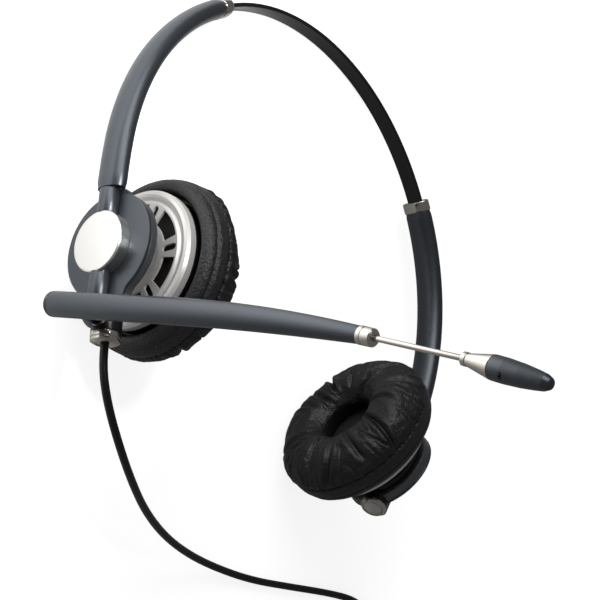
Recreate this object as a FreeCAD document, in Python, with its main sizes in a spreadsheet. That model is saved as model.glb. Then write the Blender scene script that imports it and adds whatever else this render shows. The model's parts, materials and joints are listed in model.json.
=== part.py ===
"""Two-ear office headset with a telescoping boom microphone, laid on its back on a table.

Every piece is drawn in one of three frames and then placed in the model's frame:
the headset frame (X across the head, Y to the back, Z to the crown, origin at the
centre of the headband's arc), one hub frame for each ear (X out of the ear cup, Z up the
arm) and the boom frame (X along the boom, Y up, Z away from the cup). Left and right are as
seen from in front of the wearer.
"""
import FreeCAD
import Part
import Sketcher
import os
from math import cos, degrees, pi, radians, sin, tan

Vector = FreeCAD.Vector
Rotation = FreeCAD.Rotation
Placement = FreeCAD.Placement

DIMENSIONS = {
    # headband
    "band_radius": 91.2,
    "band_width": 6.4,
    "band_thick": 1.6,
    "spring_width": 5.0,
    "spring_thick": 0.5,
    "band_half_angle": 75.5,
    "stop_angle": 2.0,
    "stop_width": 7.4,
    "stop_thick": 2.8,
    # arms
    "arm_half_width": 5.65,
    "arm_half_thick": 3.6,
    "arm_start_angle": 47.4,
    "arm_bend_angle": 97.06,
    "arm_lower_radius": 178.4,
    "arm_lower_angle": 5.78,
    "hub_angle": 11.9,
    "ferrule_angle": 2.8,
    "ferrule_proud": 0.15,
    "arm_cavity_width": 8.0,
    "arm_cavity_thick": 3.4,
    "arm_cavity_angle": 44.0,
    "slot_gap": 0.1,
    # hub
    "plate_radius": 18.0,
    "plate_thick": 1.0,
    "housing_depth": 4.4,
    "housing_gap": 0.05,
    "housing_pocket_radius": 13.5,
    "housing_pocket_depth": 2.2,
    "neck_half_width": 5.4,
    "neck_top": 18.5,
    "rib_radius": 3.5,
    "rib_axis": 1.6,
    "cap_radius": 10.4,
    "cap_height": 4.9,
    "cap_edge": 0.7,
    "cap_gap": 0.25,
    "pin_radius": 1.6,
    "pin_axis": 0.5,
    "pin_low": 11.5,
    "pin_high": 28.0,
    "running_gap": 0.05,
    "bowl_radius": 15.6,
    "bowl_back": 10.2,
    "ball_radius": 3.4,
    "ball_depth": 8.6,
    "post_radius": 4.9,
    "post_axis": 2.3,
    "post_forward": 1.4,
    "left_lobe_radius": 9.2,
    "left_lobe_drop": 18.5,
    "left_post_top": 18.2,
    "left_post_end": 28.8,
    "left_ring_end": 32.4,
    "right_lobe_radius": 4.9,
    "right_lobe_drop": 13.8,
    "right_post_top": 15.75,
    "right_post_end": 18.9,
    "right_ring_end": 20.8,
    "lobe_blend": 5.0,
    "ring_step": 0.8,
    # ear cup
    "back_rim_radius": 23.5,
    "back_rim_depth": 15.6,
    "back_skin": 0.8,
    "stud_radius": 2.6,
    "stud_top": 12.15,
    "window_inner": 12.9,
    "window_outer": 18.3,
    "window_angle": 36.0,
    "window_phase": 57.0,
    "slot_length": 5.8,
    "slot_width": 2.2,
    "slot_radius": 15.4,
    "slot_phase": 27.0,
    "damping_depth": 14.3,
    "damping_thick": 0.4,
    "damping_radius": 22.4,
    "frame_radius": 23.2,
    "frame_top": 15.7,
    "frame_end": 20.9,
    "magnet_radius": 8.5,
    "diaphragm_radius": 15.0,
    "baffle_radius": 28.6,
    "baffle_top": 21.0,
    "baffle_thick": 1.5,
    "mesh_radius": 20.0,
    "mesh_top": 23.2,
    "mesh_thick": 0.4,
    "seam_radius": 30.2,
    "seam_depth": 24.2,
    "cushion_front": 35.0,
    "cushion_hole": 10.4,
    # boom
    "boom_lift": 9.9,
    "boom_drop": 23.15,
    "boom_droop_angle": 11.5,
    "boom_tail": 10.2,
    "boom_tail_cap": 12.1,
    "boom_length": 113.0,
    "boom_rear_radius": 4.1,
    "boom_front_radius": 2.45,
    "boom_straight": 40.0,
    "boom_wall": 0.8,
    "boom_ferrule_radius": 2.6,
    "boom_ferrule_length": 4.8,
    "boom_bend_angle": 5.4,
    "ferrule_bend_angle": 1.7,
    "boom_neck_radius": 3.4,
    "boom_pin_radius": 2.0,
    "washer_thick": 0.4,
    "boom_rod_radius": 0.8,
    "boom_rod_inside": 12.0,
    "boom_rod_length": 29.2,
    "mic_bend_angle": 2.9,
    "mic_cone_length": 9.6,
    "mic_cone_rear_radius": 1.7,
    "mic_radius": 3.3,
    "mic_length": 18.1,
    "mic_tip_radius": 2.0,
    "mic_skin": 0.7,
    "capsule_radius": 2.2,
    "capsule_length": 2.6,
    # cord
    "cord_radius": 1.35,
    "cord_lift": 0.05,
    "coil_radius": 15.2,
    "coil_half_width": 4.4,
    "coil_height": 7.6,
    "coil_round": 2.0,
    "coil_turns": 6.25,
    "coil_x": 140.0,
    "coil_y": -132.0,
    "relief_length": 4.0,
    "relief_radius": 2.3,
    "cord_slack": 0.02,
    "plug_length": 42.0,
    "plug_width": 12.5,
    "plug_height": 8.6,
    "plug_x": 122.0,
    "plug_round": 2.2,
    "boot_length": 8.0,
    "boot_rear_radius": 2.2,
    "boot_front_radius": 3.6,
    "socket_depth": 7.0,
    "socket_width": 8.6,
    "socket_height": 4.8,
    "contact_pitch": 1.9,
    # rest pose
    "left_tilt_angle": 12.5,
    "left_swivel_angle": -0.5,
    "right_tilt_angle": 15.4,
    "right_swivel_angle": 4.3,
    "lie_back_angle": 12.0,
    "roll_angle": -0.88,
    "rest_x": 0.0,
    "rest_y": -3.85,
    "rest_z": 22.31,
}

doc = FreeCAD.newDocument("headset")
sheet = doc.addObject("Spreadsheet::Sheet", "dims")
for row, (alias, number) in enumerate(DIMENSIONS.items(), start=1):
    sheet.set(f"A{row}", alias)
    sheet.set(f"B{row}", str(number))
    sheet.setAlias(f"B{row}", alias)
doc.recompute()

nodes = {}


def factor_value(word):
    """The number that one word of a size stands for, such as 2*cap_radius."""
    product = 1.0
    for part in word.split("*"):
        product *= getattr(sheet, part) if part in DIMENSIONS else float(part)
    return product


def value(size):
    """The number that a size stands for: words of the sheet joined by + and -."""
    total = 0.0
    sign = 1.0
    for word in str(size).split():
        if word in ("+", "-"):
            sign = 1.0 if word == "+" else -1.0
        else:
            total += sign * factor_value(word)
            sign = 1.0
    return total


def cell(size):
    """The same size as an expression on the sheet's cells."""
    words = []
    for word in str(size).split():
        parts = [f"dims.{p}" if p in DIMENSIONS else p for p in word.split("*")]
        words.append("*".join(parts))
    return " ".join(words)


def bind(thing, **sizes):
    """Ties properties of a document object to the sheet."""
    for name, size in sizes.items():
        thing.setExpression(name, cell(size))
    return thing


def put(thing, at, turn=None):
    """Moves a primitive to a point given by three sizes, and ties that point to the sheet."""
    thing.Placement = Placement(Vector(*[value(a) for a in at]), turn or Rotation())
    for axis, size in zip("xyz", at):
        if size != "0":
            thing.setExpression(f"Placement.Base.{axis}", cell(size))
    return thing


ALONG = {
    "x": Rotation(Vector(0, 1, 0), 90),
    "y": Rotation(Vector(1, 0, 0), -90),
    "z": Rotation(),
}


def cylinder(name, radius, height, at=("0", "0", "0"), along="z", angle=None):
    thing = bind(doc.addObject("Part::Cylinder", name), Radius=radius, Height=height)
    if angle:
        bind(thing, Angle=angle)
    return put(thing, at, ALONG[along])


def box(name, length, width, height, at):
    thing = doc.addObject("Part::Box", name)
    bind(thing, Length=length, Width=width, Height=height)
    return put(thing, at)


def ball(name, radius, at):
    return put(bind(doc.addObject("Part::Sphere", name), Radius=radius), at)


def fuse(name, *things):
    joined = doc.addObject("Part::MultiFuse", name)
    joined.Shapes = list(things)
    joined.Refine = True
    return joined


def cut(name, base, *tools):
    tool = tools[0] if len(tools) == 1 else fuse(f"{name}_tools", *tools)
    result = doc.addObject("Part::Cut", name)
    result.Base = base
    result.Tool = tool
    return result


def add_node(label, thing, frame):
    """Puts a finished piece in its frame and lists it for export."""
    thing.Label = label
    thing.Placement = frame
    nodes[label] = thing
    return thing


def origin_plane(body, role):
    return next(f for f in body.Origin.OriginFeatures if f.Role == role)


def turned(name, profile, angle="360", role="XZ_Plane"):
    """A body turned about its X axis from corners given as (along X, radius)."""
    body = doc.addObject("PartDesign::Body", name)
    sketch = body.newObject("Sketcher::SketchObject", f"{name}_profile")
    sketch.AttachmentSupport = [(origin_plane(body, role), "")]
    sketch.MapMode = "FlatFace"
    corners = [Vector(value(a), value(r), 0) for a, r in profile]
    count = len(corners)
    for i in range(count):
        sketch.addGeometry(Part.LineSegment(corners[i], corners[(i + 1) % count]))
    for i in range(count):
        sketch.addConstraint(Sketcher.Constraint("Coincident", i, 2, (i + 1) % count, 1))
    for i, corner in enumerate(profile):
        for kind, size in zip(("DistanceX", "DistanceY"), corner):
            number = value(size)
            if abs(number) < 1e-9:
                axis = -2 if kind == "DistanceX" else -1
                sketch.addConstraint(Sketcher.Constraint("PointOnObject", i, 1, axis))
                continue
            if number > 0:
                index = sketch.addConstraint(Sketcher.Constraint(kind, -1, 1, i, 1, number))
                expression = cell(size)
            else:
                index = sketch.addConstraint(Sketcher.Constraint(kind, i, 1, -1, 1, -number))
                expression = f"-({cell(size)})"
            sketch.renameConstraint(index, f"{kind[-1].lower()}_{i}")
            sketch.setExpression(f"Constraints.{kind[-1].lower()}_{i}", expression)
    turn = body.newObject("PartDesign::Revolution", f"{name}_turn")
    turn.Profile = sketch
    turn.ReferenceAxis = (sketch, ["H_Axis"])
    if angle == "360":
        turn.Angle = 360
    else:
        bind(turn, Angle=angle)
    sketch.Visibility = False
    return body


# ---------------------------------------------------------------- frames

LIE_DOWN = Placement(
    Vector(value("rest_x"), value("rest_y"), value("rest_z")),
    Rotation(Vector(1, 0, 0), -90 - value("lie_back_angle")) * Rotation(Vector(0, 0, 1), value("roll_angle")),
)
SIDES = {"left": -1, "right": 1}


def arc_centre(side):
    """Centre of the arm's lower, flatter arc in the headset frame."""
    reach = value("band_radius - arm_lower_radius")
    bend = radians(value("arm_bend_angle"))
    return Vector(SIDES[side] * reach * sin(bend), 0, reach * cos(bend))


def hub_point(side):
    """Where the arm's axis meets the plane of the hub's face."""
    angle = radians(value("arm_bend_angle + hub_angle"))
    reach = value("arm_lower_radius")
    return arc_centre(side) + Vector(SIDES[side] * reach * sin(angle), 0, reach * cos(angle))


def hub_frame(side):
    tilt = radians(value(f"{side}_tilt_angle"))
    swivel = radians(value(f"{side}_swivel_angle"))
    out = Vector(SIDES[side] * cos(tilt) * cos(swivel), -sin(swivel) * cos(tilt), -sin(tilt))
    up = Vector(0, 0, 1) - out * out.z
    up.normalize()
    turn = Rotation(out, up.cross(out), up, "ZXY")
    return LIE_DOWN * Placement(hub_point(side), turn)


FRAMES = {side: hub_frame(side) for side in SIDES}
droop = radians(value("boom_droop_angle"))
BOOM = FRAMES["left"] * Placement(
    Vector(value("boom_lift"), 0, -value("boom_drop")),
    Rotation(Vector(0, cos(droop), -sin(droop)), Vector(0, sin(droop), cos(droop)), Vector(1, 0, 0), "ZXY"),
)

# ---------------------------------------------------------------- headband


def across_band(name, half_width, half_thick):
    """A closed oval section of an arm, standing on the arc's crown with its normal along X."""
    section = Rotation(Vector(0, 1, 0), Vector(0, 0, 1), Vector(1, 0, 0), "XYZ")
    thing = bind(doc.addObject("Part::Ellipse", name), MajorRadius=half_width, MinorRadius=half_thick)
    return put(thing, ("0", "0", "band_radius"), section)


def swept(name, section, start, angle, side=1, centre=None):
    """A section swung about the band's axis, from start to start + angle degrees from the crown."""
    placed = section.Placement
    section.setExpression("Placement.Base.y", None)
    section.setExpression("Placement.Base.z", None)
    section.Placement = Placement(Vector(), Rotation(Vector(0, 1, 0), side * value(start))) * placed
    turn = doc.addObject("Part::Revolution", name)
    turn.Source = section
    turn.Base = centre or Vector()
    turn.Axis = Vector(0, side, 0)
    turn.Solid = True
    bind(turn, Angle=angle)
    return turn


def arc_bar(name, width, thick, start, angle, side=1, grow="0"):
    """A bar of rectangular section bent round the band's axis."""
    section = doc.addObject("Part::Plane", f"{name}_section")
    wide = value(width) + 2 * value(grow)
    deep = value(thick) + 2 * value(grow)
    bind(section, Length=f"{width} + 2*{grow}", Width=f"{thick} + 2*{grow}")
    turn = Rotation(Vector(0, 1, 0), Vector(0, 0, 1), Vector(1, 0, 0), "XYZ")
    section.Placement = Placement(Vector(0, -wide / 2, value("band_radius") - deep / 2), turn)
    return swept(name, section, start, angle, side)


band_spring = arc_bar("band_spring", "spring_width", "spring_thick", "0 - band_half_angle", "2*band_half_angle")
add_node("headband_spring", band_spring, LIE_DOWN)

band_cover = cut(
    "band_cover",
    arc_bar("band_cover_outside", "band_width", "band_thick", "0 - band_half_angle", "2*band_half_angle"),
    arc_bar("band_cover_inside", "spring_width", "spring_thick", "0 - band_half_angle", "2*band_half_angle"),
)
add_node("headband_cover", band_cover, LIE_DOWN)

stops = [
    arc_bar(f"{side}_stop", "stop_width", "stop_thick", "band_half_angle", "stop_angle", sign)
    for side, sign in SIDES.items()
]
band_stops = doc.addObject("Part::Compound", "band_stops")
band_stops.Links = stops
add_node("headband_end_stops", band_stops, LIE_DOWN)

# ---------------------------------------------------------------- arms


def oval_bar(name, half_width, half_thick, start, angle, side, centre=None):
    section = across_band(f"{name}_section", half_width, half_thick)
    return swept(name, section, start, angle, side, centre)


def make_arm(side):
    sign = SIDES[side]
    upper_angle = "arm_bend_angle - arm_start_angle"
    upper = oval_bar(f"{side}_arm_upper", "arm_half_width", "arm_half_thick", "arm_start_angle", upper_angle, sign)
    lower = oval_bar(
        f"{side}_arm_lower", "arm_half_width", "arm_half_thick", "arm_bend_angle", "arm_lower_angle",
        sign, arc_centre(side),
    )
    cavity = arc_bar(
        f"{side}_arm_cavity", "arm_cavity_width", "arm_cavity_thick", "arm_start_angle - 1",
        "arm_cavity_angle", sign,
    )
    bore = cylinder(
        f"{side}_arm_bore", "pin_radius + running_gap", "pin_high - pin_low + 0.5", ("pin_axis", "0", "pin_low + 0.3"),
    )
    bore.Placement = LIE_DOWN.inverse() * FRAMES[side] * bore.Placement
    for axis in "xyz":
        bore.setExpression(f"Placement.Base.{axis}", None)
    arm = cut(f"{side}_arm_cut", fuse(f"{side}_arm_solid", upper, lower), cavity, bore)
    add_node(f"{side}_arm_tube", arm, LIE_DOWN)
    ferrule_start = "arm_start_angle - ferrule_angle"
    sleeve = oval_bar(
        f"{side}_ferrule_sleeve", "arm_half_width + ferrule_proud", "arm_half_thick + ferrule_proud",
        ferrule_start, "ferrule_angle", sign,
    )
    slot = arc_bar(
        f"{side}_ferrule_slot", "band_width", "band_thick", f"{ferrule_start} - 1", "ferrule_angle + 2",
        sign, "slot_gap",
    )
    add_node(f"{side}_arm_ferrule", cut(f"{side}_ferrule", sleeve, slot), LIE_DOWN)


# ---------------------------------------------------------------- hubs


def keyhole(name, side, start, thick, grow="0"):
    """The hub's outline as a slab: a disc, a neck up to the arm and a lobe below, blended."""
    disc = cylinder(f"{name}_disc", f"plate_radius + {grow}", thick, (start, "0", "0"), "x")
    lobe = cylinder(
        f"{name}_lobe", f"{side}_lobe_radius + {grow}", thick, (start, "0", f"0 - {side}_lobe_drop"), "x",
    )
    neck = box(
        f"{name}_neck", thick, "2*neck_half_width", "0.5*neck_top", (start, "0 - neck_half_width", "0.5*neck_top"),
    )
    slab = fuse(name, disc, lobe, neck)
    doc.recompute()
    creases = []
    for number, edge in enumerate(slab.Shape.Edges, start=1):
        first, last = edge.Vertexes[0].Point, edge.Vertexes[-1].Point
        along = last - first
        straight = abs(abs(along.x) - value(thick)) < 1e-6 and abs(along.y) + abs(along.z) < 1e-6
        if straight and abs(first.y) > 1 and first.z < 0:
            creases.append((number, value("lobe_blend"), value("lobe_blend")))
    if not creases:
        return slab
    blended = doc.addObject("Part::Fillet", f"{name}_blend")
    blended.Base = slab
    blended.Edges = creases
    return blended


def make_hub(side):
    frame = FRAMES[side]
    plate = keyhole(f"{side}_plate", side, "0 - plate_thick", "plate_thick")
    upper_rib = cylinder(f"{side}_rib_upper", "rib_radius", "neck_top - 8", ("rib_axis", "0", "8"))
    rib_low = "4.5 - boom_drop" if side == "left" else "1.9 - right_lobe_drop - right_lobe_radius"
    lower_rib = cylinder(
        f"{side}_rib_lower", "rib_radius", f"-8 - {rib_low.replace(' - ', ' + ')}", ("rib_axis", "0", rib_low)
    )
    behind = box(f"{side}_behind_plate", "10", "60", "80", ("0 - plate_thick - 10", "-30", "-40"))
    cap_room = cylinder(f"{side}_cap_room", "cap_radius + cap_gap", "10", ("0", "0", "0"), "x")
    pin_hole = cylinder(f"{side}_plate_pin_hole", "pin_radius", "20", ("pin_axis", "0", "pin_low"))
    tools = [behind, cap_room, pin_hole]
    if side == "left":
        tools.append(
            cylinder("plate_boom_hole", "boom_pin_radius + running_gap", "20", ("-10", "0", "0 - boom_drop"), "x")
        )
    face = cut(f"{side}_face_cut", fuse(f"{side}_face_solid", plate, upper_rib, lower_rib), *tools)
    add_node(f"{side}_hub_face_plate", face, frame)

    start = "0 - housing_depth"
    slab = keyhole(f"{side}_slab", side, start, "housing_depth - plate_thick - housing_gap")
    pocket = cylinder(
        f"{side}_pocket", "housing_pocket_radius", "housing_pocket_depth",
        ("0 - plate_thick - housing_gap - housing_pocket_depth", "0", "0"), "x",
    )
    pocket_open = cylinder(
        f"{side}_pocket_open", "housing_pocket_radius", "1", ("0 - plate_thick - housing_gap", "0", "0"), "x",
    )
    shell_pin = cylinder(f"{side}_housing_pin_hole", "pin_radius", "20", ("pin_axis", "0", "pin_low"))
    tools = [pocket, pocket_open, shell_pin]
    if side == "left":
        tools.append(
            cylinder("housing_boom_hole", "boom_pin_radius + running_gap", "10", ("-4.1", "0", "0 - boom_drop"), "x")
        )
    add_node(f"{side}_hub_housing", cut(f"{side}_housing", slab, *tools), frame)

    cap = turned(
        f"{side}_cap",
        [
            ("0", "0"),
            ("0", "cap_radius"),
            ("cap_height - 2*cap_edge", "cap_radius"),
            ("cap_height - cap_edge", "cap_radius - 0.4*cap_edge"),
            ("cap_height - 0.3*cap_edge", "cap_radius - 1.2*cap_edge"),
            ("cap_height", "cap_radius - 3*cap_edge"),
            ("cap_height", "0"),
        ],
    )
    add_node(f"{side}_hub_cap", cap, frame)

    pin = cylinder(f"{side}_pin", "pin_radius", "pin_high - pin_low", ("pin_axis", "0", "pin_low"))
    doc.recompute()
    pin_tip = cylinder(f"{side}_pin_tip", "0.7*pin_radius", "0.5", ("pin_axis", "0", "pin_high"))
    pin_node = fuse(f"{side}_pin_body", pin, pin_tip)
    add_node(f"{side}_swivel_pin", pin_node, frame)

    bowl = turned(
        f"{side}_bowl",
        [
            ("0 - housing_depth - housing_gap", "0"),
            ("0 - housing_depth - housing_gap", "bowl_radius"),
            ("-5.6", "bowl_radius - 0.2"),
            ("-6.8", "bowl_radius - 1.4"),
            ("-8.0", "bowl_radius - 4.2"),
            ("-8.9", "bowl_radius - 7.4"),
            ("0 - bowl_back", "5.6"),
            ("0 - bowl_back", "0"),
        ],
    )
    socket = ball(f"{side}_socket", "ball_radius + running_gap", ("0 - ball_depth", "0", "0"))
    add_node(f"{side}_hub_back_shell", cut(f"{side}_bowl_cut", bowl, socket), frame)

    pivot = ball(f"{side}_ball", "ball_radius", ("0 - ball_depth", "0", "0"))
    flat = box(f"{side}_ball_flat", "2", "4", "4", ("0 - ball_depth - ball_radius - 1.9", "-2", "-2"))
    add_node(f"{side}_cup_ball", cut(f"{side}_ball_cut", pivot, flat), frame)

    forward = "+" if side == "left" else "-"
    room = keyhole(
        f"{side}_post_room", side, "0 - housing_depth - housing_gap", "housing_depth + housing_gap + 6", "running_gap",
    )
    sleeve = cylinder(
        f"{side}_sleeve", "post_radius", f"{side}_post_end - {side}_post_top",
        ("0 - post_axis", f"0 {forward} post_forward", f"0 - {side}_post_end"),
    )
    tools = [room]
    if side == "left":
        tools.append(cylinder("left_post_bore", "relief_radius", "40", ("0 - post_axis", "post_forward", "-50")))
    add_node(f"{side}_lower_post", cut(f"{side}_post_cut", sleeve, *tools), frame)


def make_ends():
    """The metal ring that the cord leaves through, and the blank cap on the other post."""
    step = "ring_step"
    length = "left_ring_end - left_post_end"
    ring = turned(
        "left_ring",
        [
            ("0", "relief_radius"),
            ("0", "post_radius - 0.1"),
            (f"{length} - 2*{step}", "post_radius - 0.1"),
            (f"{length} - {step}", f"post_radius - 0.5*{step}"),
            (length, f"post_radius - 2*{step}"),
            (f"{length} - 0.5*{step}", f"post_radius - 2.6*{step}"),
            (f"{length} - 0.5*{step}", "relief_radius"),
        ],
    )
    down = Rotation(Vector(0, 1, 0), 90)
    at = Vector(-value("post_axis"), value("post_forward"), -value("left_post_end"))
    add_node("left_cord_ring", ring, FRAMES["left"] * Placement(at, down))
    length = "right_ring_end - right_post_end"
    blank = turned(
        "right_blank",
        [
            ("0", "0"),
            ("0", "post_radius - 0.1"),
            (f"{length} - {step}", "post_radius - 0.1"),
            (length, f"post_radius - {step}"),
            (length, f"post_radius - 1.6*{step}"),
            (f"{length} - 0.3*{step}", f"post_radius - 1.9*{step}"),
            (f"{length} - 0.3*{step}", "0"),
        ],
    )
    at = Vector(-value("post_axis"), -value("post_forward"), -value("right_post_end"))
    add_node("right_post_cap", blank, FRAMES["right"] * Placement(at, down))


# ---------------------------------------------------------------- ear cups


def back_plate(side):
    """The dished metal plate with its ring of windows and slots."""
    shell = turned(
        f"{side}_plate_shell",
        [
            ("-12.4", "stud_radius"),
            ("-12.4", "9"),
            ("-11.9", "10.6"),
            ("-11.9", "18.9"),
            ("-12.8", "19.8"),
            ("-12.0", "20.9"),
            ("-11.7", "21.8"),
            ("-12.1", "22.8"),
            ("-13.2", "back_rim_radius"),
            ("0 - back_rim_depth", "back_rim_radius"),
            ("0 - back_rim_depth", "back_rim_radius - back_skin"),
            ("-13.5", "back_rim_radius - back_skin"),
            ("-12.8", "22.1"),
            ("-12.8", "21.3"),
            ("-13.6", "19.9"),
            ("-12.7", "18.6"),
            ("-12.7", "10.8"),
            ("-13.2", "9.2"),
            ("-13.2", "stud_radius"),
        ],
    )
    tools = []
    for i in range(6):
        sign = -SIDES[side]
        centre = sign * (value("window_phase") + 60 * i)
        wedge = cylinder(f"{side}_window_{i}_outer", "window_outer", "4", angle="window_angle")
        core = cylinder(f"{side}_window_{i}_inner", "window_inner", "4")
        window = cut(f"{side}_window_{i}", wedge, core)
        to_x = Placement(Vector(-14, 0, 0), ALONG["x"])
        first = 180 - centre - value("window_angle") / 2
        window.Placement = to_x * Placement(Vector(), Rotation(Vector(0, 0, 1), first))
        tools.append(window)
        centre = sign * (value("slot_phase") + 60 * i)
        middle = box(
            f"{side}_slot_{i}_middle", "slot_length - slot_width", "slot_width", "4",
            ("slot_radius - 0.5*slot_length + 0.5*slot_width", "-0.5*slot_width", "0"),
        )
        inner = cylinder(
            f"{side}_slot_{i}_inner", "0.5*slot_width", "4",
            ("slot_radius - 0.5*slot_length + 0.5*slot_width", "0", "0"),
        )
        outer = cylinder(
            f"{side}_slot_{i}_outer", "0.5*slot_width", "4",
            ("slot_radius + 0.5*slot_length - 0.5*slot_width", "0", "0"),
        )
        slot = fuse(f"{side}_slot_{i}", middle, inner, outer)
        slot.Placement = to_x * Placement(Vector(), Rotation(Vector(0, 0, 1), 180 - centre))
        tools.append(slot)
    return cut(f"{side}_back_cut", shell, *tools)


def ring_disc(name, top, thick, outer, inner):
    return turned(
        name,
        [
            (f"0 - {top}", inner),
            (f"0 - {top}", outer),
            (f"0 - {top} - {thick}", outer),
            (f"0 - {top} - {thick}", inner),
        ],
    )


def make_cup(side):
    frame = FRAMES[side]
    add_node(f"{side}_speaker_back_plate", back_plate(side), frame)
    stud = turned(
        f"{side}_stud",
        [
            ("0 - stud_top", "0"),
            ("0 - stud_top", "stud_radius"),
            ("-13.4", "stud_radius"),
            ("-13.4", "stud_radius + 1.2"),
            ("-14.2", "stud_radius + 1.2"),
            ("-14.2", "stud_radius"),
            ("-15.4", "stud_radius"),
            ("-15.4", "0"),
        ],
    )
    add_node(f"{side}_cup_stud", stud, frame)
    add_node(
        f"{side}_damping_cloth",
        ring_disc(f"{side}_damping", "damping_depth", "damping_thick", "damping_radius", "4.2"), frame,
    )
    basket = turned(
        f"{side}_basket",
        [
            ("0 - frame_top", "9"),
            ("0 - frame_top", "frame_radius"),
            ("0 - frame_end", "frame_radius"),
            ("0 - frame_end", "frame_radius - 6"),
            ("-17.4", "frame_radius - 6.6"),
            ("-16.7", "9"),
        ],
    )
    add_node(f"{side}_driver_frame", basket, frame)
    magnet = turned(
        f"{side}_magnet_body",
        [
            ("-15.6", "0"),
            ("-15.6", "magnet_radius"),
            ("-18.2", "magnet_radius"),
            ("-18.2", "0"),
        ],
    )
    add_node(f"{side}_driver_magnet", magnet, frame)
    cone = turned(
        f"{side}_cone",
        [
            ("-18.6", "0"),
            ("-19.2", "4"),
            ("-18.8", "7"),
            ("-19.9", "diaphragm_radius - 2"),
            ("-19.9", "diaphragm_radius"),
            ("-20.2", "diaphragm_radius"),
            ("-20.2", "diaphragm_radius - 2"),
            ("-19.1", "7"),
            ("-19.5", "4"),
            ("-18.9", "0"),
        ],
    )
    add_node(f"{side}_driver_diaphragm", cone, frame)
    baffle = ring_disc(f"{side}_baffle_disc", "baffle_top", "baffle_thick", "baffle_radius", "0")
    holes = [
        cylinder(f"{side}_sound_hole_0", "1.1", "8", ("-26", "0", "0"), "x"),
    ]
    for count, reach in ((6, 4.2), (12, 8.4)):
        for i in range(count):
            angle = 2 * pi * i / count
            holes.append(
                cylinder(
                    f"{side}_sound_hole_{count}_{i}", "1.1", "8",
                    ("-26", f"{reach * cos(angle):.4f}", f"{reach * sin(angle):.4f}"), "x",
                )
            )
    add_node(f"{side}_speaker_baffle", cut(f"{side}_baffle_cut", baffle, *holes), frame)
    add_node(
        f"{side}_ear_mesh", ring_disc(f"{side}_mesh_disc", "mesh_top", "mesh_thick", "mesh_radius", "0"), frame,
    )
    base = turned(
        f"{side}_base_ring",
        [
            ("-18.0", "24.0"),
            ("-16.3", "25.2"),
            ("-16.0", "26.4"),
            ("-16.8", "28.0"),
            ("-18.2", "29.4"),
            ("-20.2", "30.3"),
            ("-22.6", "seam_radius"),
            ("-24.0", "seam_radius - 0.5"),
            ("-24.0", "baffle_radius + 0.1"),
            ("0 - baffle_top + 0.1", "baffle_radius + 0.1"),
            ("0 - baffle_top + 0.1", "24.0"),
        ],
    )
    add_node(f"{side}_cushion_base", base, frame)
    middle = 0.5 * (value("seam_radius") + value("cushion_hole"))
    half = 0.5 * (value("seam_radius") - value("cushion_hole"))
    depth = value("cushion_front") - value("seam_depth")
    profile = []
    for i in range(9):
        angle = pi * i / 8
        x = -value("seam_depth") - 0.05 - (depth - 0.05) * sin(angle) ** 0.8
        profile.append((f"{x:.4f}", f"{middle + half * cos(angle):.4f}"))
    add_node(f"{side}_ear_cushion", turned(f"{side}_cushion", profile), frame)


# ---------------------------------------------------------------- boom


def loft(stations):
    """A solid through round sections given as (x, y, radius, slope) in the boom frame."""
    wires = []
    for x, y, radius, slope in stations:
        normal = Vector(cos(slope), sin(slope), 0)
        wires.append(Part.Wire(Part.makeCircle(radius, Vector(x, y, 0), normal)))
    return Part.makeLoft(wires, True, False)


def boom_stations(shrink):
    """Sections of the tube: straight behind, then drooping in an arc while it thins towards the front."""
    straight = value("boom_straight")
    rear = value("boom_rear_radius")
    taper = rear - value("boom_front_radius")
    bend = radians(value("boom_bend_angle"))
    bend_radius = (value("boom_length") - straight) / sin(bend)
    stations = [(-value("boom_tail"), 0, rear - shrink, 0)]
    for step in range(6):
        turn = bend * step / 5
        x = straight + bend_radius * sin(turn)
        radius = rear - taper * (sin(turn) / sin(bend)) ** 2
        stations.append((x, bend_radius * (cos(turn) - 1), radius - shrink, -turn))
    return stations


def add_shape(label, shape, frame):
    thing = doc.addObject("Part::Feature", label)
    thing.Shape = shape
    return add_node(label, thing, frame)


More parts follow.
